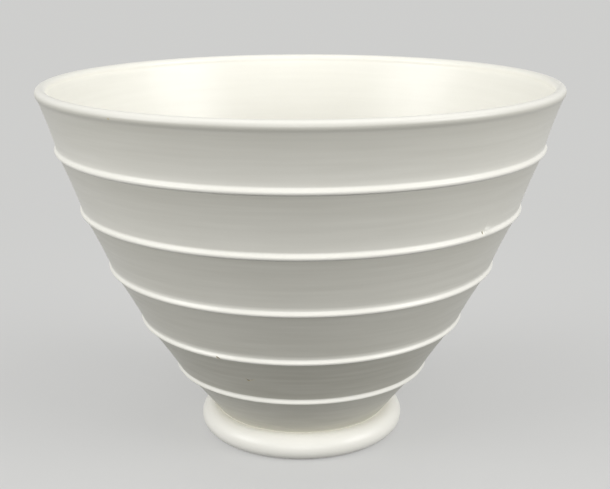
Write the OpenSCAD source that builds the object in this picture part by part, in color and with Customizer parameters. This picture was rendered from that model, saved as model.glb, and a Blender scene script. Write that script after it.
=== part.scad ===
// Conical vase: a turned earthenware bowl with raised ribs, stuck with slip on a round-section
// foot ring and then glazed. Millimetres, +Z up, origin at the middle of the surface it stands on.
// The wall and foot sizes are those of the finished, glazed surface.
// The clay lies one glaze thickness under it.

/* [Wall] */
// Number of raised ribs round the wall
rib_count = 5; // [3:1:7]
// Distance along the wall from one rib to the next, and from the neck to the lowest rib
rib_pitch = 28.1; // [22:0.1:34]
// Distance along the wall from the top rib to the middle of the lip
lip_gap = 25.2; // [18:0.2:36]
// Lean of the top band away from upright, in degrees
lean_top = 16.7; // [12:0.1:24]
// Lean of the lowest band away from upright, in degrees
lean_foot = 38.4; // [32:0.1:44]
// How the lean falls off up the wall: 1 is even steps, more keeps the upper bands straighter
lean_ease = 1.3; // [1:0.02:2]
// Depth of the shallow hollow turned into each band
band_hollow = 0.4; // [0.3:0.02:0.5]
// How far each band over the neck swells out at its top, under a rib or the lip
band_flare = 0.4; // [0.2:0.05:0.5]
// Depth of the fuller hollow turned into the neck, under the lowest rib
neck_hollow = 1.9; // [1:0.1:2.6]

/* [Ribs] */
// Radius of the round section of the top rib
rib_r_top = 1.25; // [1:0.05:2]
// Radius of the round section of the lowest rib
rib_r_low = 1.1; // [1:0.05:2]

/* [Lip] */
// Radius of the lip's round section
lip_r = 2.35; // [2:0.05:2.8]
// How far the lip rolls out past the outer face of the wall
lip_roll_out = 0.25; // [0.2:0.05:0.5]
// How far the lip rolls in past the inner face of the wall
lip_roll_in = 0.4; // [0.1:0.05:0.6]

/* [Inside] */
// Thickness of the finished wall behind the lowest rib
wall_low = 6.4; // [5.5:0.1:8]
// Radius of the long curve of the inside wall, in section
inside_curve_r = 420; // [380:5:520]
// Radius of the curve from the inside wall to the floor, in section
floor_curve_r = 30; // [20:1:36]
// Thickness of the finished floor
floor_t = 10; // [8:0.5:13]

/* [Foot] */
// Radius of the circle through the middle of the foot ring's section
foot_r = 40.8; // [34:0.1:48]
// Radius of the foot ring's round section
foot_section_r = 5.7; // [5:0.1:6.6]
// How far inside that circle the wall meets the foot ring, at the neck
neck_in = 1.85; // [1:0.05:2.4]
// Depth ground off the round section to make it stand flat
foot_flat = 0.3; // [0.2:0.05:0.45]
// Width of the bare clay band that the vase stands on
land_w = 3.2; // [2.4:0.1:3.8]
// How deep the recess under the base is bored into the ring's round section
bore_cut = 0.7; // [0.5:0.05:1.2]
// Height of the recess under the base
recess_h = 7.4; // [6.4:0.1:8]

/* [Glaze and slip] */
// Thickness of the glaze coat
glaze_t = 0.35; // [0.2:0.05:0.45]
// Thickness of the slip that sticks the foot ring to the bowl
slip_t = 0.4; // [0.2:0.05:0.6]
// How far the slip is sponged back below the edge of its groove
slip_back = 0.25; // [0.15:0.05:0.4]
// Height above the standing surface at which the glaze is wiped off
wiped_h = 0.5; // [0.4:0.05:0.8]

/* [Hidden] */
$fn = 240;
// Facets of the long shallow hollows, which keep only a short arc of a large circle
hollow_fn = 1440;
// Steps along the long curve of the inside wall
wall_steps = 24;
// Steps along the floor's curve
floor_steps = 12;
// How far a band's blank stands proud before its hollow is turned
proud = 1;
// How far a band's blank reaches down behind the rib under it, within the rib's round section
lap = 0.3;
// How far below the middle of the lip the wall's blank ends, within the lip's round section
blank_drop = lip_r / 3;
// Depth inside the clay at which the outer and inner glaze are told apart
split_depth = 1;
// Reach of the cutting shapes past what they cut
past = 20;

clay_colour = [0.91, 0.88, 0.80];
slip_colour = [0.80, 0.76, 0.68];
glaze_colour = [0.95, 0.94, 0.89];

neck_r = foot_r - neck_in;
recess_r = foot_r - foot_section_r + bore_cut;
foot_z = foot_section_r - foot_flat;
neck_z = foot_z + sqrt(pow(foot_section_r, 2) - pow(neck_r - foot_r, 2));
spigot_r = neck_r - glaze_t;
groove_r = spigot_r + slip_t;
clay_base_z = recess_h + glaze_t;
seat_z = clay_base_z - slip_t;
slip_top_z = foot_z + sqrt(pow(foot_section_r - glaze_t, 2) - pow(groove_r - foot_r, 2)) - slip_back;
under_split_z = (recess_h + neck_z) / 2;
floor_z = recess_h + floor_t;

// The wall is a run of bands, counted from the neck up. Each leans out less than the one below it.
function lean(band) = lean_top + (lean_foot - lean_top) * pow(1 - band / rib_count, lean_ease);
function band_length(band) = band < rib_count ? rib_pitch : lip_gap;
function up_band(band) = [sin(lean(band)), cos(lean(band))];
function out_of_band(band) = [cos(lean(band)), -sin(lean(band))];

// Point 0 is the neck, then one point per rib, and the last is level with the middle of the lip.
function wall_point(i) =
    i == 0 ? [neck_r, neck_z]
    : wall_point(i - 1) + band_length(i - 1) * up_band(i - 1);
function rib_r(i) = rib_r_low + (rib_r_top - rib_r_low) * (i - 1) / (rib_count - 1);
function out_of_wall(i) = let (n = out_of_band(i - 1) + out_of_band(i)) n / norm(n);

// A band's hollow is an arc with the given depth in the middle. It runs from the band's lower wall point to
// its upper one, moved out by the flare.
function hollow_top(band) = wall_point(band + 1) + (band == 0 ? 0 : band_flare) * out_of_band(band);
function hollow_chord(band) = hollow_top(band) - wall_point(band);
function hollow_out(band) = let (chord = hollow_chord(band)) [chord[1], -chord[0]] / norm(chord);
function hollow_depth(band) = band == 0 ? neck_hollow : band_hollow;
function hollow_r(band) =
    let (half = norm(hollow_chord(band)) / 2, depth = hollow_depth(band))
    (pow(half, 2) + pow(depth, 2)) / (2 * depth);
function hollow_centre(band) =
    (wall_point(band) + hollow_top(band)) / 2
    + hollow_out(band) * (hollow_r(band) - hollow_depth(band));

lip_point = wall_point(rib_count + 1);
lip_centre = [lip_point[0] + band_flare + lip_roll_out - lip_r, lip_point[1]];
lip_top_z = lip_point[1] + lip_r;

// The inside wall is one arc, through the lip and a point behind the lowest rib, down to the floor's curve.
inside_top = [lip_centre[0] - lip_r + lip_roll_in, lip_point[1]];
inside_low = wall_point(1) - wall_low * out_of_wall(1);
inside_chord = inside_top - inside_low;
inside_centre =
    (inside_top + inside_low) / 2
    + [-inside_chord[1], inside_chord[0]] / norm(inside_chord)
    * sqrt(pow(inside_curve_r, 2) - pow(norm(inside_chord) / 2, 2));
floor_curve_z = floor_z + floor_curve_r;
floor_curve_x =
    inside_centre[0]
    + sqrt(pow(inside_curve_r - floor_curve_r, 2) - pow(inside_centre[1] - floor_curve_z, 2));
// Angle at which the floor's curve runs into the wall's, seen from either centre
join_angle = atan2(floor_curve_z - inside_centre[1], floor_curve_x - inside_centre[0]);

function arc(centre, r, from, to, steps) =
    [for (i = [0 : steps])
        let (a = from + (to - from) * i / steps)
        centre + r * [cos(a), sin(a)]];

// Sections, drawn with the radius along X and the height along Y. "grow" moves a surface out of the clay:
// 0 is the finished surface and -glaze_t is the clay.

// One band filled in to the axis: a blank with its hollow turned away
module band_section(band, grow) {
    low = wall_point(band);
    high = wall_point(band + 1);
    bottom = band == 0 ? clay_base_z : low[1] - lap;
    top = band == rib_count ? high[1] - blank_drop : high[1];
    difference() {
        polygon([[0, bottom], [low[0] + proud, bottom], [high[0] + proud, top], [0, top]]);
        translate(hollow_centre(band))
            circle(r = hollow_r(band) - grow, $fn = hollow_fn);
    }
}

// The outside of the bowl filled in to the axis: its bands, its ribs and the spigot under it
module outside(grow) {
    for (band = [0 : rib_count])
        band_section(band, grow);
    for (i = [1 : rib_count])
        translate(wall_point(i))
            circle(r = rib_r(i) + grow);
    translate([0, clay_base_z])
        square([spigot_r, floor_z - clay_base_z]);
}

module lip(grow) {
    translate(lip_centre)
        circle(r = lip_r + grow);
}

// The hollow of the bowl, larger by "wider" on every side
module inside(wider) {
    top_angle = asin((lip_top_z + lip_r - inside_centre[1]) / (inside_curve_r + wider));
    polygon(concat(
        [[0, floor_z - wider]],
        arc([floor_curve_x, floor_curve_z], floor_curve_r + wider, -90, join_angle, floor_steps),
        arc(inside_centre, inside_curve_r + wider, join_angle, top_angle, wall_steps),
        [[0, lip_top_z + lip_r]]));
}

module bowl_section() {
    difference() {
        outside(-glaze_t);
        inside(glaze_t);
    }
    lip(-glaze_t);
}

module foot_round(grow) {
    translate([foot_r, foot_z])
        circle(r = foot_section_r + grow);
}

// The recess under the base, with the bore of the foot ring as its wall
module recess(wider) {
    translate([0, -past])
        square([recess_r + wider, recess_h + wider + past]);
}

// The clay foot ring: a round section with a groove for the bowl's spigot, a bored middle and a flat land
module foot_section() {
    difference() {
        union() {
            foot_round(-glaze_t);
            translate([foot_r - land_w / 2, 0])
                square([land_w, foot_z]);
        }
        translate([0, seat_z])
            square([groove_r, past]);
        recess(glaze_t);
        translate([0, -past])
            square([foot_r + foot_section_r, past]);
    }
}

// The slip between the spigot and its groove: a flat bed and a thin upright wall
module slip_section() {
    bed_r = recess_r + glaze_t;
    translate([bed_r, seat_z])
        square([groove_r - bed_r, slip_t]);
    translate([spigot_r, seat_z])
        square([slip_t, slip_top_z - seat_z]);
}

module all_clay() {
    bowl_section();
    foot_section();
    slip_section();
}

// What lies inside the foot ring, where the base has a glaze coat of its own
module under_base() {
    translate([0, wiped_h])
        square([foot_r, under_split_z - wiped_h]);
}

module above_wipe() {
    translate([0, wiped_h])
        square([lip_point[0] + past, lip_top_z + past]);
}

// Parts

module bowl() {
    color(clay_colour)
        rotate_extrude()
            bowl_section();
}

module foot_ring() {
    color(clay_colour)
        rotate_extrude()
            foot_section();
}

module luting_slip() {
    color(slip_colour)
        rotate_extrude()
            slip_section();
}

module outer_glaze() {
    color(glaze_colour)
        rotate_extrude()
            difference() {
                intersection() {
                    union() {
                        outside(0);
                        lip(0);
                        foot_round(0);
                    }
                    above_wipe();
                }
                all_clay();
                inside(glaze_t + split_depth);
                under_base();
            }
}

module inner_glaze() {
    color(glaze_colour)
        rotate_extrude()
            difference() {
                intersection() {
                    union() {
                        difference() {
                            inside(glaze_t);
                            inside(0);
                            translate([0, lip_point[1]])
                                square([lip_point[0], past]);
                        }
                        lip(0);
                    }
                    inside(glaze_t + split_depth);
                }
                all_clay();
            }
}

module base_glaze() {
    color(glaze_colour)
        rotate_extrude()
            difference() {
                intersection() {
                    union() {
                        foot_round(0);
                        translate([0, recess_h])
                            square([recess_r, past]);
                    }
                    under_base();
                }
                recess(0);
                all_clay();
            }
}

bowl();
foot_ring();
luting_slip();
outer_glaze();
inner_glaze();
base_glaze();
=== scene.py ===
# %% [markdown]
# # A ribbed conical vase
# The real vase is a turned earthenware bowl stuck on a foot ring of round section and dipped in a
# cream-white, semi-matt glaze. The CAD solids are the fixed frame of this scene. The clay bowl, the
# clay foot ring and the slip between them stay as they are. The three glaze coats are what the eye
# meets, so they are modelled again here as finer surfaces, with the soft creases, the small flaws and
# the finish of a fired glaze.

# %% Load the solids
import math

import bpy
import numpy as np
from mathutils import Matrix, Vector


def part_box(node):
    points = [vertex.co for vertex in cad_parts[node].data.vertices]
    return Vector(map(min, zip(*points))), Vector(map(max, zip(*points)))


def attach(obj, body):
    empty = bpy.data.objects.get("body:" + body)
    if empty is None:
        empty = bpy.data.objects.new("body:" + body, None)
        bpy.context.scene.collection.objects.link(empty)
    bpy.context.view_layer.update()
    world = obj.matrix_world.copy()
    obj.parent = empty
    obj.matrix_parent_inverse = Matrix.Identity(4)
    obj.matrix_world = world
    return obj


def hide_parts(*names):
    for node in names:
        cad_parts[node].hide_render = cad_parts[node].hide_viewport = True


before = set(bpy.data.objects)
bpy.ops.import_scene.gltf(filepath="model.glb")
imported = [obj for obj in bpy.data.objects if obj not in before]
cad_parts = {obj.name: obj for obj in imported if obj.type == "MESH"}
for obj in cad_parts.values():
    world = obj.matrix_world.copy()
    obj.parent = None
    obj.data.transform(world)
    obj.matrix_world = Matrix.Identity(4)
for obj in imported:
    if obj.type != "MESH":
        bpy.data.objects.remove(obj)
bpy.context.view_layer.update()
print("solids:", ", ".join(sorted(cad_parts)))

# %% [markdown]
# ## Sizes of the outline
# A potter cuts a shape like this to a template, and the template is a handful of sizes: how far apart
# the ribs are, how the wall leans, how round the lip and the foot are. They are the same sizes as in
# the solids, so the new coats lie where the solid coats do, apart from the neck above the foot, which
# is straighter here. An outline traced point by point would do it too, but nobody could change it
# afterwards.

# %% Sizes of the outline
# Lengths are in metres, leans in degrees from upright. R is a radius, T a thickness and H a height.
MM = 0.001
RIB_COUNT = 5
RIB_PITCH = 28.1 * MM
LIP_GAP = 25.2 * MM
LEAN_TOP = 16.7
LEAN_FOOT = 38.4
LEAN_EASE = 1.3
BAND_HOLLOW = 0.4 * MM
BAND_FLARE = 0.4 * MM
NECK_HOLLOW = 0.2 * MM
RIB_R_TOP = 1.25 * MM
RIB_R_LOW = 1.1 * MM
LIP_R = 2.35 * MM
LIP_ROLL_OUT = 0.25 * MM
LIP_ROLL_IN = 0.4 * MM
WALL_LOW = 6.4 * MM
INSIDE_CURVE_R = 420 * MM
FLOOR_CURVE_R = 30 * MM
FLOOR_T = 10 * MM
FOOT_R = 40.8 * MM
FOOT_SECTION_R = 5.7 * MM
NECK_IN = 1.85 * MM
FOOT_FLAT = 0.3 * MM
BORE_CUT = 0.7 * MM
RECESS_H = 7.4 * MM
GLAZE_T = 0.35 * MM
SPLIT_DEPTH = 1 * MM
WIPED_H = 0.5 * MM

foot_centre = np.array([FOOT_R, FOOT_SECTION_R - FOOT_FLAT])
neck = foot_centre + [-NECK_IN, math.sqrt(FOOT_SECTION_R**2 - NECK_IN**2)]
recess_r = FOOT_R - FOOT_SECTION_R + BORE_CUT
floor_z = RECESS_H + FLOOR_T
print("neck at radius and height, in mm:", np.round(neck / MM, 2))

# %% [markdown]
# ## The wall's points
# The wall is a run of bands between ribs, and each band leans out a little less than the one below it.
# Adding up the bands as arrows gives the rib positions, all at once, as a running sum. A loop tool has
# hollowed every band a little, and each swells out again at its top, under the next rib.

# %% The wall's points
band = np.arange(RIB_COUNT + 1)
lean = np.radians(LEAN_TOP + (LEAN_FOOT - LEAN_TOP) * (1 - band / RIB_COUNT) ** LEAN_EASE)
band_up = np.stack([np.sin(lean), np.cos(lean)], axis=1)
band_out = np.stack([np.cos(lean), -np.sin(lean)], axis=1)
band_length = np.where(band < RIB_COUNT, RIB_PITCH, LIP_GAP)
steps_up = np.cumsum(band_length[:, None] * band_up, axis=0)
wall = np.concatenate([neck[None], neck + steps_up])
rib_r = RIB_R_LOW + (RIB_R_TOP - RIB_R_LOW) * (band - 1) / (RIB_COUNT - 1)
hollow_depth = np.where(band == 0, NECK_HOLLOW, BAND_HOLLOW)
hollow_top = wall[1:] + np.where(band == 0, 0, BAND_FLARE)[:, None] * band_out
hollow_chord = hollow_top - wall[:-1]
hollow_length = np.hypot(*hollow_chord.T)
hollow_r = ((hollow_length / 2) ** 2 + hollow_depth**2) / (2 * hollow_depth)
hollow_out = np.stack([hollow_chord[:, 1], -hollow_chord[:, 0]], axis=1) / hollow_length[:, None]
hollow_centre = (wall[:-1] + hollow_top) / 2 + hollow_out * (hollow_r - hollow_depth)[:, None]
lip_centre = wall[-1] + [BAND_FLARE + LIP_ROLL_OUT - LIP_R, 0]
lip_top = lip_centre[1] + LIP_R
print("ribs at heights in mm:", np.round(wall[1:-1, 1] / MM, 1), "lip top", round(lip_top / MM, 2))

# %% [markdown]
# ## Round stretches that meet
# Every stretch of the section is part of a circle: the lip, the shallow hollow of each band, the ribs
# and the foot. Two circles cross where the cosine rule says, and the section runs along one circle up
# to the crossing and then along the next.

# %% Arcs and crossings
ARC_POINTS = 400


def arc_between(centre, start, end):
    """The arc about a centre from one point to another: the start's angle turned the short way to the
    end's."""
    from_angle = np.arctan2(*(start - centre)[::-1])
    to_angle = np.arctan2(*(end - centre)[::-1])
    turn = (to_angle - from_angle + np.pi) % (2 * np.pi) - np.pi
    angle = from_angle + turn * np.linspace(0, 1, ARC_POINTS)
    return centre + np.hypot(*(start - centre)) * np.stack([np.cos(angle), np.sin(angle)], axis=1)


def meet(centre_a, radius_a, centre_b, radius_b, near):
    """The crossing of two circles that is nearer a given point: along the line of centres by the cosine
    rule, then off that line by what the first radius leaves."""
    gap = np.hypot(*(centre_b - centre_a))
    along = (gap**2 + radius_a**2 - radius_b**2) / (2 * gap)
    off = np.sqrt(radius_a**2 - along**2)
    unit = (centre_b - centre_a) / gap
    square = np.array([-unit[1], unit[0]])
    both = centre_a + along * unit + np.outer([1, -1], off * square)
    return both[np.argmin(np.hypot(*(both - near).T))]


def rib_edge(rib, side):
    """Where a rib's circle crosses the hollow of the band above it (side 1) or below it (side -1)."""
    beside = rib if side > 0 else rib - 1
    near = wall[rib] + side * rib_r[rib] * band_up[beside]
    return meet(wall[rib], rib_r[rib], hollow_centre[beside], hollow_r[beside], near)


lip_outer = meet(lip_centre, LIP_R, hollow_centre[-1], hollow_r[-1], lip_centre + [LIP_R, -LIP_R])
print("lip runs into the wall at, in mm:", np.round(lip_outer / MM, 2))

# %% [markdown]
# ## The inside
# Inside, the wall is one long even curve, as a rib tool leaves it, that rolls into the floor through a
# tighter curve. The long curve passes through the lip and through a point behind the lowest rib, so its
# centre lies on the line that halves those two squarely.

# %% The inside curves
out_of_low_rib = (band_out[0] + band_out[1]) / np.hypot(*(band_out[0] + band_out[1]))
inside_low = wall[1] - WALL_LOW * out_of_low_rib
inside_top = lip_centre + [LIP_ROLL_IN - LIP_R, 0]
chord = inside_top - inside_low
chord_length = np.hypot(*chord)
square_to_chord = np.array([-chord[1], chord[0]]) / chord_length
inside_centre = (inside_top + inside_low) / 2 + square_to_chord * math.sqrt(
    INSIDE_CURVE_R**2 - (chord_length / 2) ** 2
)
floor_curve_z = floor_z + FLOOR_CURVE_R
floor_curve_x = inside_centre[0] + math.sqrt(
    (INSIDE_CURVE_R - FLOOR_CURVE_R) ** 2 - (inside_centre[1] - floor_curve_z) ** 2
)
floor_centre = np.array([floor_curve_x, floor_curve_z])
toward_join = (floor_centre - inside_centre) / np.hypot(*(floor_centre - inside_centre))
floor_join = floor_centre + FLOOR_CURVE_R * toward_join
floor_edge = np.array([floor_curve_x, floor_z])
lip_inner = meet(lip_centre, LIP_R, inside_centre, INSIDE_CURVE_R, lip_centre - [LIP_R, LIP_R])
crown = meet(
    lip_centre, LIP_R, inside_centre, INSIDE_CURVE_R + GLAZE_T + SPLIT_DEPTH, lip_centre + [0, LIP_R]
)
print("floor's curve joins the wall at, in mm:", np.round(floor_join / MM, 2))

# %% [markdown]
# ## Glaze in the corners
# Melted glaze draws together in a sharp corner and thins over a sharp edge, so no crease of the
# finished vase is knife sharp. It also runs down: a little more of it lies on top of each rib and under
# the lip than below a rib. Each section is stepped evenly and every point becomes the Gaussian mean of
# its neighbours, with a wider mean where glaze has pooled. A bevel on the mesh would round the creases
# as well, but with facets of its own.

# %% Even steps and softened corners
EVEN_STEP = 0.05 * MM
MEAN_ENDS = 4


def run_of(line):
    """Distance along a line at each of its points: the running sum of the gaps between them."""
    return np.concatenate([[0], np.cumsum(np.hypot(*np.diff(line, axis=0).T))])


def at_run(line, distance):
    """Points at given distances along a line, each coordinate read off between its neighbours."""
    return np.stack([np.interp(distance, run_of(line), line[:, axis]) for axis in (0, 1)], axis=1)


def even(line):
    """The same line in even steps."""
    length = run_of(line)[-1]
    return at_run(line, np.linspace(0, length, round(length / EVEN_STEP) + 1))


def soften(line, reach):
    """The Gaussian mean of each point's neighbours along an evenly stepped line. Past its ends the line
    goes on as its own image through the end point, so the ends stay in place."""
    half = round(MEAN_ENDS * reach / EVEN_STEP)
    weight = np.exp(-0.5 * (np.arange(-half, half + 1) * EVEN_STEP / reach) ** 2)
    before = 2 * line[0] - line[half:0:-1]
    after = 2 * line[-1] - line[-2 : -half - 2 : -1]
    longer = np.concatenate([before, line, after])
    return np.stack(
        [np.convolve(longer[:, axis], weight / weight.sum(), "valid") for axis in (0, 1)], axis=1
    )


print("the outline is stepped every", EVEN_STEP / MM, "mm")

# %% [markdown]
# ## One line over the whole glaze
# The outer and the inner coat meet on the crown of the lip. They are drawn as one line, from the middle
# of the floor up the inside, over the lip and down to the foot, so that no seam shows where they part.
# The coat under the base is a line of its own, because the ring that the vase stands on is wiped bare.

# %% Stretches of the line, and where glaze pools


def wiped_at(side):
    """Where the glaze is wiped off the foot's round, outside (1) or inside (-1) of its lowest point."""
    drop = foot_centre[1] - WIPED_H
    return foot_centre + [side * math.sqrt(FOOT_SECTION_R**2 - drop**2), -drop]


def outside_stretches():
    """Arcs from the lip down: each band's hollow, then the rib under it, and last the round of the
    foot."""
    top = lip_outer
    for k in band[::-1]:
        foot = rib_edge(k, 1) if k else neck
        yield arc_between(hollow_centre[k], top, foot)
        if k:
            top = rib_edge(k, -1)
            yield arc_between(wall[k], foot, wall[k] + rib_r[k] * band_out[k])
            yield arc_between(wall[k], wall[k] + rib_r[k] * band_out[k], top)
    widest = foot_centre + [FOOT_SECTION_R, 0]
    yield arc_between(foot_centre, neck, widest)
    yield arc_between(foot_centre, widest, wiped_at(1))


def flat_bell(distance):
    """1 at distance 0 and next to nothing past 1, with a flat top: e to the minus fourth power."""
    return np.exp(-(distance**4))


def pool_share(line, places, reach):
    """How much of a pool there is at each point of a line: a flat-topped bell of the distance to the
    nearest place."""
    distance = np.hypot(*(line[:, None] - places).transpose(2, 0, 1)).min(axis=1)
    return flat_bell(distance / reach)[:, None]


print("the foot is bare between radii, in mm:", [round(wiped_at(side)[0] / MM, 1) for side in (-1, 1)])

# %% One line over the whole glaze
CREASE_SOFT = 0.15 * MM
POOL_SOFT = 0.5 * MM
LIP_POOL_SOFT = 0.6 * MM
POOL_REACH = 1.0 * MM
LIP_POOL_REACH = 1.6 * MM
BASE_SOFT = 0.6 * MM

bore_in = FOOT_SECTION_R - BORE_CUT
bore_foot = foot_centre - [bore_in, math.sqrt(FOOT_SECTION_R**2 - bore_in**2)]
inside_line = np.concatenate([
    [[0, floor_z]],
    arc_between(floor_centre, floor_edge, floor_join),
    arc_between(inside_centre, floor_join, lip_inner),
    arc_between(lip_centre, lip_inner, crown),
])
outside_line = np.concatenate([arc_between(lip_centre, crown, lip_outer), *outside_stretches()])
base_line = np.concatenate([
    arc_between(foot_centre, wiped_at(-1), bore_foot),
    [[recess_r, RECESS_H], [0, RECESS_H]],
])
whole_line = even(np.concatenate([inside_line, outside_line]))
rib_pools = np.array([rib_edge(rib, 1) for rib in band[1:]])
on_rib = pool_share(whole_line, rib_pools, POOL_REACH)
under_lip = pool_share(whole_line, lip_outer[None], LIP_POOL_REACH)
glazed = soften(whole_line, CREASE_SOFT)
glazed = glazed + on_rib * (soften(whole_line, POOL_SOFT) - glazed)
glazed = glazed + under_lip * (soften(whole_line, LIP_POOL_SOFT) - glazed)
under = soften(even(base_line), BASE_SOFT)
crown_at = np.argmin(np.hypot(*(glazed - crown).T))
inner_line = glazed[: crown_at + 1]
outer_line = glazed[crown_at:]
print("glaze from floor to foot, in mm:", round(run_of(glazed)[-1] / MM, 1), "in", len(glazed), "steps")

# %% [markdown]
# ## Small flaws
# The vase has been used. A flake is gone above the second highest rib, beside a lump of glaze that
# gathered there in the kiln. The second lowest rib has a nick, the band below it a pit with two short
# scratches, and the lip has an iron speck on its underside. Each is a small dent or lump in the surface
# with some stain, placed by its angle from the front and its distance over the crest of a rib, measured
# along the surface. Shapes cut out of the mesh would do for the nick, but not for marks this shallow.

# %% Small flaws
# Ribs count from the foot and angles are in degrees. Left, right and tall are half sizes.
FLAW_PARTS = ("rib", "angle", "over", "left", "right", "tall", "slant", "lift", "stain")
FLAWS = {
    "flake": (4, 47.35, 1.8 * MM, 0.3 * MM, 0.3 * MM, 0.65 * MM, 0.2, -0.3 * MM, 1.0),
    "lump": (4, 48.3, 2.2 * MM, 0.5 * MM, 4.4 * MM, 1.5 * MM, -0.06, 0.5 * MM, 0.0),
    "nick": (2, -27.4, -0.05 * MM, 0.95 * MM, 0.95 * MM, 0.5 * MM, -0.6, -0.4 * MM, 1.0),
    "pit": (1, -20.0, 13.9 * MM, 0.5 * MM, 0.65 * MM, 0.48 * MM, -0.3, -0.3 * MM, 1.0),
    "scratch": (1, -18.6, 14.35 * MM, 1.5 * MM, 1.5 * MM, 0.22 * MM, 0.36, -0.1 * MM, 0.65),
    "scuff": (1, -20.5, 14.6 * MM, 0.6 * MM, 0.6 * MM, 0.28 * MM, -1.3, -0.08 * MM, 0.6),
    "iron_speck": (5, -37.2, 25.5 * MM, 0.85 * MM, 0.85 * MM, 0.5 * MM, 0.0, 0.0, 0.40),
}
crest_points = wall[1:-1] + rib_r[1:, None] * (band_out[:-1] + band_out[1:]) / 2
to_crest = np.hypot(*(outer_line[:, None] - crest_points).transpose(2, 0, 1))
crest_runs = run_of(outer_line)[np.argmin(to_crest, axis=0)]
flaws = [dict(zip(FLAW_PARTS, row)) for row in FLAWS.values()]
for one in flaws:
    one["run"] = crest_runs[one["rib"] - 1] - one["over"]
    one["turn"] = math.radians(one["angle"])
print("crests of the ribs along the outer line, in mm:", np.round(crest_runs / MM, 1))


def mark(one, angle, run, radius):
    """How much of a flaw there is on a grid of run by angle: e to the minus cube of the distance from
    its middle, in half widths along the turn and half heights up the wall, with the height slanted by a
    share of the width."""
    along = (angle - one["turn"]) * radius
    up_wall = one["run"] - run - one["slant"] * along
    half_width = np.where(along < 0, one["left"], one["right"])
    squared = (along / half_width) ** 2 + (up_wall / one["tall"]) ** 2
    return np.exp(-(squared**1.5))


# %% [markdown]
# ## Bend, air side and fewer points
# How sharply the line bends tells three things: where the mesh needs points, where glaze has drawn thin
# over a crest, and where it has pooled in a crease, which the glaze also paints lighter against the
# shade there. The heading of the line gives the bend and the side the air is on. Even steps fine enough
# for the flaws would make millions of faces, so rings and angles lie close only where the line bends or
# a flaw needs them.

# %% Bend and air side


def heading(line):
    """Direction of travel at each point, from the differences of its neighbours, without jumps of a
    full turn."""
    return np.unwrap(np.arctan2(np.gradient(line[:, 1]), np.gradient(line[:, 0])))


def air_side(line):
    """Unit arrow into the air at each point: the direction of travel turned a quarter to the left."""
    angle = heading(line)
    return np.stack([-np.sin(angle), np.cos(angle)], axis=1)


def bulge(line):
    """How sharply the line bends away from the air, per metre: above 0 on a crest and below 0 in a
    crease."""
    return -np.gradient(heading(line), run_of(line))


print("sharpest crest has a radius in mm of", round(1 / bulge(outer_line).max() / MM, 2))

# %% Rings along the line and angles round the axis
LONG_STEP = 2.6 * MM
TURN_STEP = math.radians(18)
COARSE_ANGLE = math.radians(1.9)
FINE_STEP = 0.26 * MM
FLAW_REACH = 1.7 * MM
ANGLE_SAMPLES = 40001
middle_r = wall[3, 0]


def even_shares(places, density):
    """Places that each take the same share of a density: even steps of its running total."""
    total = np.concatenate([[0], np.cumsum((density[1:] + density[:-1]) / 2 * np.diff(places))])
    return np.interp(np.linspace(0, total[-1], math.ceil(total[-1]) + 1), total, places)


def chosen_runs(line, close_to=()):
    """Distances along a line at which the mesh gets a ring, by a density that grows with bend and, near
    the given distances, by a flat-topped bell."""
    run = run_of(line)
    near = np.subtract.outer(run, np.array(close_to, float)) / FLAW_REACH
    density = 1 / LONG_STEP + np.abs(bulge(line)) / TURN_STEP + flat_bell(near).sum(axis=1) / FINE_STEP
    return even_shares(run, density)


def angles_round(close_to=()):
    """Angles of a full turn that starts at the back, closer together near the given angles by a
    flat-topped bell."""
    every = np.linspace(-np.pi, np.pi, ANGLE_SAMPLES)
    near = np.subtract.outer(every, np.array(close_to, float)) / (FLAW_REACH / middle_r)
    density = 1 / COARSE_ANGLE + flat_bell(near).sum(axis=1) * middle_r / FINE_STEP
    return even_shares(every, density)[:-1]


print("rings from length and bend alone:", len(chosen_runs(inner_line)), len(chosen_runs(outer_line)))
flaw_turns = [one["turn"] for one in flaws]
print("angles:", len(angles_round()), "and with flaws:", len(angles_round(flaw_turns)))

# %% [markdown]
# ## Closing rings into a skin
# A pot is a line turned about an axis, so a coat is a grid: distance along the line by angle round the
# axis. The front of the coat is the line itself, the back is the same line one glaze thickness into the
# clay, and together they close into a solid skin. Blender's Spin or Screw would turn the line too, but
# a grid of arrays takes the flaws and the glaze's pooled and thin places in the same step.

# %% Faces over a stack of rings


def stack_faces(rings, open_ends):
    """Points, four-sided and three-sided faces over a stack of rings, each joined to the next by a
    belt. Open ends close on a pole each, the mean of the end ring; otherwise the last ring joins the
    first."""
    count, steps = rings.shape[:2]
    points = rings.reshape(-1, 3)
    grid = np.arange(count * steps).reshape(count, steps)
    this = grid[:-1] if open_ends else grid
    following = grid[1:] if open_ends else np.roll(grid, -1, axis=0)
    belts = np.stack([this, np.roll(this, -1, 1), np.roll(following, -1, 1), following], axis=-1)
    fans = np.empty((0, 3), int)
    if open_ends:
        low_pole, high_pole = np.repeat([[len(points)], [len(points) + 1]], steps, axis=1)
        lower = np.stack([low_pole, np.roll(grid[0], -1), grid[0]], axis=-1)
        upper = np.stack([grid[-1], np.roll(grid[-1], -1), high_pole], axis=-1)
        points = np.concatenate([points, rings[[0, -1]].mean(axis=1)])
        fans = np.concatenate([lower, upper])
    return points, belts.reshape(-1, 4), fans


def volume_of(points, belts, fans):
    """The volume inside the faces, below 0 where they point inwards: a sixth of the sum of the triple
    products of their triangles' corners."""
    corner = points[np.concatenate([belts[:, [0, 1, 2]], belts[:, [0, 2, 3]], fans])]
    return np.einsum("ij,ij->i", corner[:, 0], np.cross(corner[:, 1], corner[:, 2])).sum() / 6


# %% Put a skin into Blender


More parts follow.
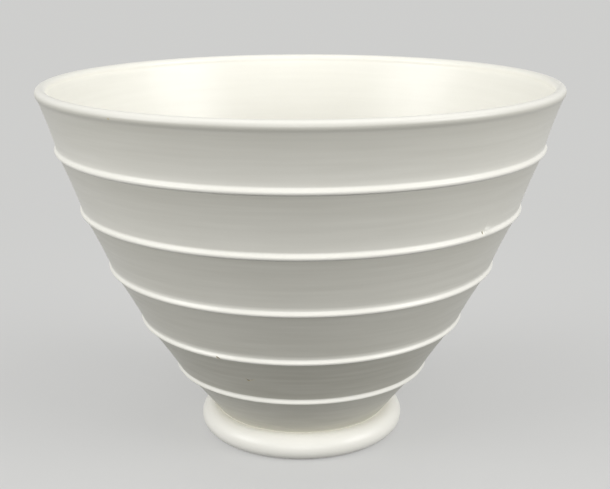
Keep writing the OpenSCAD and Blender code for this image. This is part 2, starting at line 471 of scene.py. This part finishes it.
def fold_rings(mesh, steps, edges):
    """Marks the edges along the given rings as sharp: both ends of such an edge lie on the same
    ring."""
    ends = np.empty(2 * len(mesh.edges), np.int32)
    mesh.edges.foreach_get("vertices", ends)
    ring_of = ends.reshape(-1, 2) // steps
    fold = (ring_of[:, 0] == ring_of[:, 1]) & np.isin(ring_of[:, 0], edges)
    mesh.attributes.new("sharp_edge", "BOOLEAN", "EDGE").data.foreach_set("value", fold)


def skin(name, rings, edges, values, open_ends):
    """A smooth closed mesh over a stack of rings, its faces turned outwards, with a sharp fold along
    the edge rings and the given values at the points of the rings."""
    points, belts, fans = stack_faces(rings, open_ends)
    volume = volume_of(points, belts, fans)
    if volume < 0:
        belts, fans = belts[:, ::-1], fans[:, ::-1]
    corners = np.concatenate([belts.ravel(), fans.ravel()])
    sides = np.repeat([4, 3], [len(belts), len(fans)])
    mesh = bpy.data.meshes.new(name)
    mesh.vertices.add(len(points))
    mesh.vertices.foreach_set("co", points.astype(np.float32).ravel())
    mesh.loops.add(len(corners))
    mesh.loops.foreach_set("vertex_index", corners.astype(np.int32))
    mesh.polygons.add(len(sides))
    mesh.polygons.foreach_set("loop_start", (np.cumsum(sides) - sides).astype(np.int32))
    mesh.polygons.foreach_set("use_smooth", np.ones(len(sides), bool))
    mesh.update(calc_edges=True)
    fold_rings(mesh, rings.shape[1], edges)
    for label, field in values.items():
        padded = np.zeros(len(points), np.float32)
        padded[: field.size] = field.ravel()
        mesh.attributes.new(label, "FLOAT", "POINT").data.foreach_set("value", padded)
    piece = bpy.data.objects.new(name, mesh)
    bpy.context.scene.collection.objects.link(piece)
    triangles = 2 * len(belts) + len(fans)
    print(name, "has", triangles, "triangles and holds", round(abs(volume) / MM**3), "cubic mm")
    return piece


# %% [markdown]
# ## Painted shade on the glaze
# The glaze's colour carries painted shade. The bands are painted greyer than the ribs and the foot,
# and the neck and the lowest band, which face furthest down and away from the light, greyest. On the
# upper bands the painted shade is darkest at the top of a band, under the rib above, and lighter at its
# foot. The lip's underside is painted grey, fading to next to nothing over the lip, and inside the glaze
# is painted a little darker just below the lip. A few heights with a share each say all of that, and
# every point reads its own share off between them.

# %% Painted shade on the glaze
# Shares of painted shade: the bands' from the foot up, the lip's, and the inside's at depths below the
# lip
BAND_PAINTED_SHADE = np.array([0.81, 0.91, 0.66, 0.56, 0.46, 0.44])
# How much darker the painted shade is at the top of an upper band, under the rib above, than at its foot
UNDER_RIB_SHADE_SWING = 0.16
# The band from the foot where that painted-shade swing starts, and how many bands higher it is full
SHADE_SWING_FROM = 2
SHADE_SWING_RISE = 2
LIP_PAINTED_SHADE = 0.04
# Heights above the lip's joint with the wall where the top band's painted shade still holds and where it
# has faded to the lip's share
LIP_SHADE_FULL = 0.75 * LIP_R
LIP_SHADE_GONE = 1.55 * LIP_R
INSIDE_DEPTHS = np.array([30, 12, 5, 1]) * MM
INSIDE_PAINTED_SHADE = np.array([0.05, 0.15, 0.15, LIP_PAINTED_SHADE])


def outside_thin(line):
    """How much painted shade each point of the outside gets, by height: none on the ribs and the foot,
    the band's own share on every band, and on the steep upper bands less at the foot and more at the
    top, under the rib above. It goes quickly at a rib and slowly up the lip's underside, to the lip's
    own share."""
    low = np.array([neck, *(rib_edge(rib, 1) for rib in band[1:])])[:, 1]
    high = np.array([*(rib_edge(rib, -1) for rib in band[1:]), lip_outer])[:, 1]
    # On the upper bands the painted shade swings: darker at the top, under the rib above, lighter at the
    # foot
    shade_swing = UNDER_RIB_SHADE_SWING * np.clip((band - SHADE_SWING_FROM) / SHADE_SWING_RISE, 0, 1)
    start = np.where(band == 0, -CREASE_SOFT, POOL_SOFT)
    full = high + np.where(band < RIB_COUNT, 0, LIP_SHADE_FULL)
    gone = high + np.where(band < RIB_COUNT, CREASE_SOFT, LIP_SHADE_GONE)
    over = np.where(band < RIB_COUNT, 0, LIP_PAINTED_SHADE)
    knots = np.stack([low + start, low + np.clip(2 * start, 0, None), full, gone], axis=1)
    shares = np.stack([0 * low, BAND_PAINTED_SHADE - shade_swing, BAND_PAINTED_SHADE + shade_swing, over], axis=1)
    off_foot = np.hypot(*(line - foot_centre).T) - FOOT_SECTION_R
    return np.interp(line[:, 1], knots.ravel(), shares.ravel()) * np.clip(off_foot / CREASE_SOFT, 0, 1)


def inside_thin(line):
    """How much painted shade the inside and the base get, by height: little deep down, most just
    below the lip, and the lip's share over the lip."""
    return np.interp(line[:, 1], lip_top - INSIDE_DEPTHS, INSIDE_PAINTED_SHADE)


print("mean share of thin glaze outside and inside:", [
    round(float(share.mean()), 2) for share in (outside_thin(outer_line), inside_thin(inner_line))
])

# %% [markdown]
# ## The three coats
# Each coat is made by the same steps: choose rings and angles, push the flaws in or out, set the back
# behind the front and close the skin. Where the line bends, the crest or crease share goes along as a
# value at each point, so that the finish can follow the shape without a painted picture.

# %% The three coats
BACK_SHARE = 4
CREST_BEND = 0.9 / MM
CREASE_BEND = 1.6 / MM
LUMP_WHITE = 0.25 * MM


def turned(line, air, push, angle):
    """Rings of a line turned about the vertical axis, angle 0 at the front: the radius goes round by
    sine and cosine and the height stays. A push moves each grid point along its air side."""
    radius = line[:, :1] + push * air[:, :1]
    height = line[:, 1:] + push * air[:, 1:]
    return np.stack([radius * np.sin(angle), -radius * np.cos(angle), height + 0 * angle], axis=-1)


def coat(name, line, thin_at, flaws=()):
    """One glaze coat: a front grid with its flaws pushed in or out, a back grid of fewer rings one
    glaze thickness behind it, and the share of crest, crease, painted shade and stain at every front
    point. A line that ends on the axis is run from there."""
    runs = chosen_runs(line, [one["run"] for one in flaws])
    angle = angles_round([one["turn"] for one in flaws])
    side = 1
    if line[-1, 0] < EVEN_STEP:
        line, side = line[::-1], -1
        runs = run_of(line)[-1] - runs[::-1]
    to_pole = line[0, 0] < EVEN_STEP
    runs = runs[1:] if to_pole else runs
    front = at_run(line, runs)
    air = side * np.stack([np.interp(runs, run_of(line), part) for part in air_side(line).T], axis=1)
    bend = side * np.interp(runs, run_of(line), bulge(line))[:, None] + 0 * angle
    push, stain = np.zeros((2, len(runs), len(angle)))
    for one in flaws:
        share = mark(one, angle, runs[:, None], front[:, :1])
        push += one["lift"] * share
        stain = np.maximum(stain, one["stain"] * share)
    back_rows = np.unique(np.r_[0 : len(runs) : BACK_SHARE, len(runs) - 1])[::-1]
    back = turned(front[back_rows], air[back_rows], push[back_rows] - GLAZE_T, angle)
    rings = np.concatenate([turned(front, air, push, angle), back])
    # Painted shade from the heights, none on a lump of glaze
    thin = thin_at(front)[:, None] * (1 - np.clip(push / LUMP_WHITE, 0, 1))
    # The crease share, which the glaze paints lighter against its shade, leaves out the crease above the
    # foot
    crease = -bend / CREASE_BEND * (1 - pool_share(front, neck[None], POOL_REACH))
    fields = {"crest": bend / CREST_BEND, "crease": crease, "thin": thin, "stain": stain}
    blank = np.zeros(back.shape[:2])
    values = {label: np.concatenate([np.clip(field, 0, 1), blank]) for label, field in fields.items()}
    edges = [len(runs) - 1, len(runs)] if to_pole else [0, len(runs) - 1, len(runs), len(rings) - 1]
    return skin(name, rings, edges, values, to_pole)


outer_coat = coat("outer_coat", outer_line, outside_thin, flaws)
inner_coat = coat("inner_coat", inner_line, inside_thin)
base_coat = coat("base_coat", under, inside_thin)

# %% [markdown]
# ## Which solids the coats stand for
# Each new coat takes the place of the solid coat with the same job. The solid stays in the model for
# its weight. All of the vase is one rigid body, called root.

# %% Which solids the coats stand for
for piece, node in ((outer_coat, "outer_glaze"), (inner_coat, "inner_glaze"), (base_coat, "base_glaze")):
    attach(piece, "root")
    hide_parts(node)
    low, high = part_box(node)
    corners = np.array(piece.bound_box)
    off = np.abs(np.concatenate([corners.min(0) - low, corners.max(0) - high])).max()
    print(piece.name, "differs from the solid's box by at most", round(off / MM, 3), "mm")

# %% [markdown]
# ## Writing shaders as sums
# A shader is a sum of patterns. Placing Math nodes by hand hides that sum, so one small class wraps a
# socket: adding, subtracting, multiplying or dividing two wires adds the Math node that does it. Every
# other node comes from one method.

# %% Writing shaders as sums


class Wire:
    """One output of a node in a material. Sums and products of wires and numbers add Math nodes."""

    def __init__(self, tree, socket=None):
        self.tree = tree
        self.socket = socket

    def node(self, kind, settings=None, values=None, output=0):
        """Adds a node of a type, makes its settings, then sets or links its sockets, and returns one
        output."""
        made = self.tree.nodes.new("ShaderNode" + kind)
        for name, value in (settings or {}).items():
            setattr(made, name, value)
        for key, value in (values or {}).items():
            if isinstance(value, Wire):
                self.tree.links.new(value.socket, made.inputs[key])
            else:
                made.inputs[key].default_value = value
        return Wire(self.tree, made.outputs[output])

    def math(self, operation, *terms):
        """A Math node on the given numbers or wires, one of them this wire."""
        return self.node("Math", {"operation": operation}, dict(enumerate(terms)))

    def __add__(self, other):
        return self.math("ADD", self, other)

    def __radd__(self, other):
        return self.math("ADD", other, self)

    def __sub__(self, other):
        return self.math("SUBTRACT", self, other)

    def __rsub__(self, other):
        return self.math("SUBTRACT", other, self)

    def __mul__(self, other):
        return self.math("MULTIPLY", self, other)

    def __rmul__(self, other):
        return self.math("MULTIPLY", other, self)

    def __truediv__(self, other):
        return self.math("DIVIDE", self, other)

    def __rtruediv__(self, other):
        return self.math("DIVIDE", other, self)

    def root(self):
        """The square root of this wire."""
        return self.math("SQRT", self)

    def at_least(self, other):
        """The larger of this wire and another wire or number."""
        return self.math("MAXIMUM", self, other)

    def at_most(self, other):
        """The smaller of this wire and another wire or number."""
        return self.math("MINIMUM", self, other)

    def step(self, low, high):
        """0 below low, 1 above high and a smooth rise between."""
        ends = {"From Min": low, "From Max": high}
        return self.node("MapRange", {"interpolation_type": "SMOOTHSTEP"}, {"Value": self, **ends})

    def blend(self, colour_a, colour_b):
        """The first colour where this wire is 0 and the second where it is 1."""
        # A Mix node's colours are its sockets 6 and 7, and its output 2.
        return self.node("Mix", {"data_type": "RGBA"}, {0: self, 6: colour_a, 7: colour_b}, 2)

    def feed(self, shader, socket):
        """Links this wire to a socket of a shader."""
        self.tree.links.new(self.socket, shader.inputs[socket])


def new_material(name):
    """A material with a principled shader on its output, and a loose wire to start expressions from."""
    material = bpy.data.materials.new(name)
    material.use_nodes = True
    tree = material.node_tree
    return material, Wire(tree), tree.nodes["Principled BSDF"]


# %% [markdown]
# ## Patterns that follow the wheel
# Marks left by turning run round the vase. A pattern that is fine in radius and height but slow round
# the axis gives such streaks on the wall, the floor and the foot alike. The angle enters as a sine and
# a cosine, so the pattern has no seam.

# %% Patterns that follow the wheel
NOISE_MEAN = 0.5
STREAK_DETAIL = 3.0


def place(wire):
    """Object coordinates, and the radius, height, cosine and sine of the angle that they give."""
    at = wire.node("TexCoord", output="Object")
    x, y, z = (wire.node("SeparateXYZ", {}, {0: at}, axis) for axis in "XYZ")
    radius = (x * x + y * y).root()
    return at, radius, z, x / radius, y / radius


def noise(wire, at, per_metre, detail):
    """Cloudy values about the noise's mean with the given number of lumps per metre."""
    return wire.node("TexNoise", {}, {"Vector": at, "Scale": per_metre, "Detail": detail})


def streaks(wire, radius, height, cosine, sine, per_metre, per_turn):
    """Cloudy values stretched round the axis: fine along radius and height, slow along the angle."""
    parts = {0: radius * per_metre, 1: height * per_metre, 2: cosine * per_turn}
    along = wire.node("CombineXYZ", {}, parts)
    values = {"Vector": along, "W": sine * per_turn, "Scale": 1.0, "Detail": STREAK_DETAIL}
    return wire.node("TexNoise", {"noise_dimensions": "4D"}, values)


def relief(wire, height):
    """A normal that leans as a surface of the given heights in metres does."""
    return wire.node("Bump", {}, {"Strength": 1.0, "Distance": 1.0, "Height": height})


# %% [markdown]
# ## The glaze
# The glaze is cream white and semi-matt: it scatters light like eggshell and shows only soft, wide
# highlights on the foot. Over a crest it is a shade warmer. In the creases beside the ribs and the lip
# it is painted lighter, as painted light against the shade there, and pooled glaze is whiter too. On
# the bands, under the lip and just below the lip inside it is painted greyer, as painted shade. Faint
# streaks from the wheel and broad mottling break up the colour, and a fine ripple breaks up the
# highlights. A painted picture could hold all that, but a sum of patterns has no pixels and no seam.

# %% The glaze's colours and shares
GLAZE_CREAM = (0.95, 0.938, 0.87, 1)
GLAZE_DEEP = (0.87, 0.855, 0.78, 1)
GLAZE_CREST = (0.94, 0.925, 0.85, 1)
# The grey that painted shade leads to
GLAZE_SHADE_GREY = (0.47, 0.458, 0.39, 1)
STAIN_OCHRE = (0.60, 0.53, 0.34, 1)
STAIN_DARK = (0.07, 0.055, 0.045, 1)
# Lumps per metre and detail of the clouds and the grain
CLOUDS = (45.0, 3.0)
GRAIN = (900.0, 2.0)
# Streaks per metre and per turn that the wheel left
WHEEL = (420.0, 2.2)
FINE_WHEEL = (1500.0, 4.0)
# Share of the deeper cream, and how far the patterns swing it
DEEP_SHARE = 0.2
DEEP_BY_CLOUD = 0.5
DEEP_BY_WHEEL = 0.55
DEEP_BY_GRAIN = 0.25
CREST_SHARE = 0.6
# Painted light: how far the creases go back towards cream against their shade; pooled glaze is whiter
# too
CREASE_PAINTED_LIGHT = 0.45
# How strongly the painted shade greys the glaze, and how much the wheel's streaks swing it
SHADE_SHARE = 0.8
SHADE_BY_WHEEL = 0.4
# Amounts of stain between which the ochre and then the dark come in
OCHRE_STEP = (0.1, 0.45)
DARK_STEP = (0.4, 0.8)
GLAZE_ROUGH = 0.35
ROUGH_BY_CLOUD = 0.10
ROUGH_BY_WHEEL = 0.08
ROUGH_BY_STAIN = 0.3
CLOUD_HEIGHT = 0.05 * MM
WHEEL_HEIGHT = 0.012 * MM
FINE_WHEEL_HEIGHT = 0.004 * MM
GRAIN_HEIGHT = 0.004 * MM
GLAZE_IOR = 1.5
print("glaze colours from cream to thin:", GLAZE_CREAM[:3], GLAZE_SHADE_GREY[:3])

# %% The glaze


def glaze_finish():
    """Cream glaze: colour from mottling, streaks, painted light in the creases, painted shade and stain;
    ripple in the bump."""
    material, wire, shader = new_material("cream_glaze")
    at, *around = place(wire)
    crest, crease, thin, stain = (
        wire.node("Attribute", {"attribute_name": label}, output="Fac")
        for label in ("crest", "crease", "thin", "stain")
    )
    cloud = noise(wire, at, *CLOUDS)
    grain = noise(wire, at, *GRAIN)
    wheel = streaks(wire, *around, *WHEEL)
    fine_wheel = streaks(wire, *around, *FINE_WHEEL)
    cloud_swing, wheel_swing, grain_swing = (pattern - NOISE_MEAN for pattern in (cloud, wheel, grain))
    deep = cloud_swing * DEEP_BY_CLOUD + wheel_swing * DEEP_BY_WHEEL + grain_swing * DEEP_BY_GRAIN
    colour = (deep + DEEP_SHARE).at_least(0.0).at_most(1.0).blend(GLAZE_CREAM, GLAZE_DEEP)
    colour = (crest * CREST_SHARE).blend(colour, GLAZE_CREST)
    # Painted shade: greyer on the bands, under the lip and just below it inside
    colour = (thin * (SHADE_SHARE + wheel * SHADE_BY_WHEEL)).blend(colour, GLAZE_SHADE_GREY)
    # Painted light: creases beside the ribs and the lip go back towards cream against their shade;
    # pooled glaze is whiter too
    colour = (crease * CREASE_PAINTED_LIGHT).blend(colour, GLAZE_CREAM)
    colour = stain.step(*OCHRE_STEP).blend(colour, STAIN_OCHRE)
    colour = stain.step(*DARK_STEP).blend(colour, STAIN_DARK)
    colour.feed(shader, "Base Color")
    rough = GLAZE_ROUGH + cloud_swing * ROUGH_BY_CLOUD + wheel_swing * ROUGH_BY_WHEEL
    (rough + stain * ROUGH_BY_STAIN).feed(shader, "Roughness")
    ripple = cloud * CLOUD_HEIGHT + wheel * WHEEL_HEIGHT + fine_wheel * FINE_WHEEL_HEIGHT
    relief(wire, ripple + grain * GRAIN_HEIGHT).feed(shader, "Normal")
    shader.inputs["IOR"].default_value = GLAZE_IOR
    return material


cream_glaze = glaze_finish()
print("the glaze takes", len(cream_glaze.node_tree.nodes), "nodes")

# %% [markdown]
# ## Bare clay and slip
# Only the ring that the vase stands on is bare. It is fired earthenware: a cloudy buff body with dark
# grains, and fine rings from being rubbed flat on a wheel. The slip under the foot is the same clay let
# down with water, so it is greyer and its grains are finer. One function makes both, because they
# differ only in colour and grain.

# %% Bare clay and slip
CLAY_BUFF = (0.60, 0.52, 0.40, 1)
CLAY_DARK = (0.40, 0.33, 0.24, 1)
CLAY_GRAIN = (0.20, 0.15, 0.10, 1)
SLIP_GREY = (0.54, 0.49, 0.40, 1)
SLIP_DARK = (0.42, 0.37, 0.29, 1)
# How far a grain reaches into its cell, and grains per metre
CLAY_GRAINS = (0.28, 1400.0)
SLIP_GRAINS = (0.2, 2200.0)
GRAIN_CORE = 0.12
GRAIN_SHARE = 0.7
EARTH_CLOUDS = (160.0, 4.0)
RUBBED_RINGS = (1800.0, 3.0)
DARK_SHARE = 0.45
DARK_BY_CLOUD = 1.3
DARK_BY_RUBBING = 0.6
EARTH_ROUGH = 0.82
EARTH_ROUGH_BY_CLOUD = 0.2
EARTH_CLOUD_HEIGHT = 0.04 * MM
RUBBED_HEIGHT = 0.03 * MM
GRAIN_DEPTH = 0.02 * MM


def earth_finish(name, pale, dark, grain_colour, grain_reach, grains_per_metre):
    """Unglazed fired earth: cloudy body colour, scattered grains and rings rubbed round the axis."""
    material, wire, shader = new_material(name)
    at, *around = place(wire)
    cloud = noise(wire, at, *EARTH_CLOUDS)
    rubbed = streaks(wire, *around, *RUBBED_RINGS)
    cell = wire.node("TexVoronoi", {}, {"Vector": at, "Scale": grains_per_metre})
    speck = 1 - cell.step(GRAIN_CORE, grain_reach)
    cloud_swing = cloud - NOISE_MEAN
    darker = cloud_swing * DARK_BY_CLOUD + (rubbed - NOISE_MEAN) * DARK_BY_RUBBING + DARK_SHARE
    colour = (speck * GRAIN_SHARE).blend(darker.blend(pale, dark), grain_colour)
    colour.feed(shader, "Base Color")
    (EARTH_ROUGH + cloud_swing * EARTH_ROUGH_BY_CLOUD).feed(shader, "Roughness")
    rise = cloud * EARTH_CLOUD_HEIGHT + rubbed * RUBBED_HEIGHT - speck * GRAIN_DEPTH
    relief(wire, rise).feed(shader, "Normal")
    return material


bare_clay = earth_finish("bare_clay", CLAY_BUFF, CLAY_DARK, CLAY_GRAIN, *CLAY_GRAINS)
fired_slip = earth_finish("fired_slip", SLIP_GREY, SLIP_DARK, CLAY_DARK, *SLIP_GRAINS)
print("clay and slip take", len(bare_clay.node_tree.nodes), "nodes each")

# %% Give every piece its finish
finish_of = {
    outer_coat: cream_glaze,
    inner_coat: cream_glaze,
    base_coat: cream_glaze,
    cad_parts["bowl"]: bare_clay,
    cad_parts["foot_ring"]: bare_clay,
    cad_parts["luting_slip"]: fired_slip,
}
for piece, material in finish_of.items():
    piece.data.materials.clear()
    piece.data.materials.append(material)
print("finishes:", sorted({material.name for material in finish_of.values()}))

# %% [markdown]
# ## The floor
# The vase stands on a plain pale floor. It is a wide disc, so that it reaches past every view, and far
# out it turns into the even tone of the backdrop. Near the vase half of its tone is that even tone too,
# so the lamps leave no patches and the shadow stays soft. To the camera and in reflections it is pale;
# the light that it throws back up at the vase is kept low, as from a darker table.

# %% The floor
FLOOR_RINGS = (0.05, 0.2, 0.5, 1.2, 2.5, 6.0)
FLOOR_STEPS = 96
FLOOR_PALE = (0.8, 0.8, 0.79, 1)
FLOOR_BOUNCE = (0.05, 0.05, 0.05, 1)
BACKDROP = (0.62, 0.62, 0.61, 1)
FADE_FROM = 0.05
FADE_TO = 0.5
FLOOR_GLOW = 0.5
SEEN_RAYS = ("Is Camera Ray", "Is Glossy Ray", "Is Transmission Ray")


def seen(wire):
    """1 for rays from the camera, from mirror-like reflections and through clear materials, else 0."""
    straight, mirrored, through = (wire.node("LightPath", output=ray) for ray in SEEN_RAYS)
    return straight.at_least(mirrored).at_least(through)


def floor_disc():
    """A flat disc as a grid: radius by angle, all at height 0, with one face in its middle."""
    angle = np.linspace(-np.pi, np.pi, FLOOR_STEPS, endpoint=False)
    radius = np.array(FLOOR_RINGS)[:, None]
    rings = np.stack([radius * np.sin(angle), -radius * np.cos(angle), 0 * radius * angle], axis=-1)
    grid = np.arange(len(FLOOR_RINGS) * FLOOR_STEPS).reshape(-1, FLOOR_STEPS)
    belts = np.stack([grid[:-1], grid[1:], np.roll(grid[1:], -1, 1), np.roll(grid[:-1], -1, 1)], axis=-1)
    faces = [*belts.reshape(-1, 4)[:, ::-1].tolist(), grid[0].tolist()]
    mesh = bpy.data.meshes.new("studio_floor")
    mesh.from_pydata(rings.reshape(-1, 3).tolist(), [], faces)
    floor = bpy.data.objects.new("studio_floor", mesh)
    bpy.context.scene.collection.objects.link(floor)
    return floor


def floor_finish():
    """Pale matt floor that fades into the backdrop's tone with distance."""
    material, wire, shader = new_material("pale_floor")
    nodes = material.node_tree.nodes
    nodes.remove(shader)
    at = wire.node("TexCoord", output="Object")
    far = wire.node("VectorMath", {"operation": "LENGTH"}, {0: at}, "Value").step(FADE_FROM, FADE_TO)
    shown = seen(wire)
    matt = wire.node("BsdfDiffuse", {}, {"Color": shown.blend(FLOOR_BOUNCE, FLOOR_PALE)})
    even_tone = wire.node("Emission", {}, {"Color": BACKDROP, "Strength": 1.0})
    glow = (far * (1 - FLOOR_GLOW) + FLOOR_GLOW) * shown
    both = wire.node("MixShader", {}, {0: glow, 1: matt, 2: even_tone})
    both.feed(nodes["Material Output"], "Surface")
    return material


studio_floor = floor_disc()
studio_floor.data.materials.append(floor_finish())
print("floor reaches", FLOOR_RINGS[-1], "m")

# %% [markdown]
# ## Light
# The light is soft and comes from all round, with a pair of large lamps to the left and to the right, a
# weaker pair high above them, which reaches into the bowl, and low lamps that fill the front and the
# back. Small lamps would leave hard glints that a semi-matt glaze doesn't show. Each lamp is given by
# where it stands as seen from the vase: its angle from the front, its height angle and its distance.
# The lamp behind is kept out of reflections, so that it leaves no glint along the rim.

# %% Light
AIM = Vector((0, 0, lip_top / 2))
# Each lamp: angle from the front, height angle, distance, width, height, power
LAMPS = {
    "left_softbox": (-66, 20, 3.0, 1.8, 1.5, 40),
    "right_softbox": (66, 20, 3.0, 1.8, 1.5, 44),
    "left_high": (-75, 60, 3.0, 1.8, 1.8, 7),
    "right_high": (75, 60, 3.0, 1.8, 1.8, 7),
    "front_fill": (0, 9, 3.0, 2.7, 1.0, 27),
    "back_fill": (180, 8, 3.0, 2.7, 0.8, 16),
}
WORLD_LIGHT = 0.4
WHITE = (1, 1, 1, 1)


def lamp(name, angle, rise, distance, width, height, power):
    """A rectangular soft lamp at a distance from the vase's middle, turned to face it."""
    data = bpy.data.lights.new(name, "AREA")
    data.shape = "RECTANGLE"
    data.size = width
    data.size_y = height
    data.energy = power
    turn, tilt = math.radians(angle), math.radians(rise)
    toward = Vector((math.sin(turn) * math.cos(tilt), -math.cos(turn) * math.cos(tilt), math.sin(tilt)))
    holder = bpy.data.objects.new(name, data)
    holder.location = AIM + distance * toward
    holder.rotation_mode = "QUATERNION"
    holder.rotation_quaternion = (-toward).to_track_quat("-Z", "Y")
    holder.visible_camera = False
    bpy.context.scene.collection.objects.link(holder)
    return holder


def room_light():
    """Weak even light from all round, with the backdrop's pale tone for what looks at it."""
    world = bpy.data.worlds.new("studio")
    world.use_nodes = True
    tree = world.node_tree
    tree.nodes.remove(tree.nodes["Background"])
    wire = Wire(tree)
    dim = wire.node("Background", {}, {"Color": WHITE, "Strength": WORLD_LIGHT})
    pale = wire.node("Background", {}, {"Color": BACKDROP, "Strength": 1.0})
    both = wire.node("MixShader", {}, {0: seen(wire), 1: dim, 2: pale})
    both.feed(tree.nodes["World Output"], "Surface")
    bpy.context.scene.world = world


lamps = {name: lamp(name, *row) for name, row in LAMPS.items()}
lamps["back_fill"].visible_glossy = False
room_light()
print("lamps:", {name: round(holder.data.energy, 2) for name, holder in lamps.items()})

# %% [markdown]
# ## Camera
# The camera stands in front of the vase and looks down on it a little. Its place and lens come from
# fitting the rim, the ribs and the foot to the photograph, which is 610 pixels wide and 489 high. It
# leans by a sixth of a degree.

# %% Camera
CAMERA_SIDE = 1.77 * MM
CAMERA_BACK = 478.1 * MM
CAMERA_UP = 218.1 * MM
LOOK_DOWN = math.radians(15.50)
CAMERA_ROLL = -0.0029
PHOTO_WIDTH = 610
FOCAL_PIXELS = 1093.5
SENSOR_WIDTH = 36.0

camera = bpy.data.objects.new("camera", bpy.data.cameras.new("camera"))
camera.data.sensor_width = SENSOR_WIDTH
camera.data.lens = SENSOR_WIDTH * FOCAL_PIXELS / PHOTO_WIDTH
camera.matrix_world = (
    Matrix.Translation((CAMERA_SIDE, -CAMERA_BACK, CAMERA_UP))
    @ Matrix.Rotation(math.pi / 2 - LOOK_DOWN, 4, "X")
    @ Matrix.Rotation(CAMERA_ROLL, 4, "Z")
)
bpy.context.scene.collection.objects.link(camera)
bpy.context.scene.camera = camera
bpy.context.scene.view_settings.view_transform = "Standard"
print("lens in mm:", round(camera.data.lens, 2))
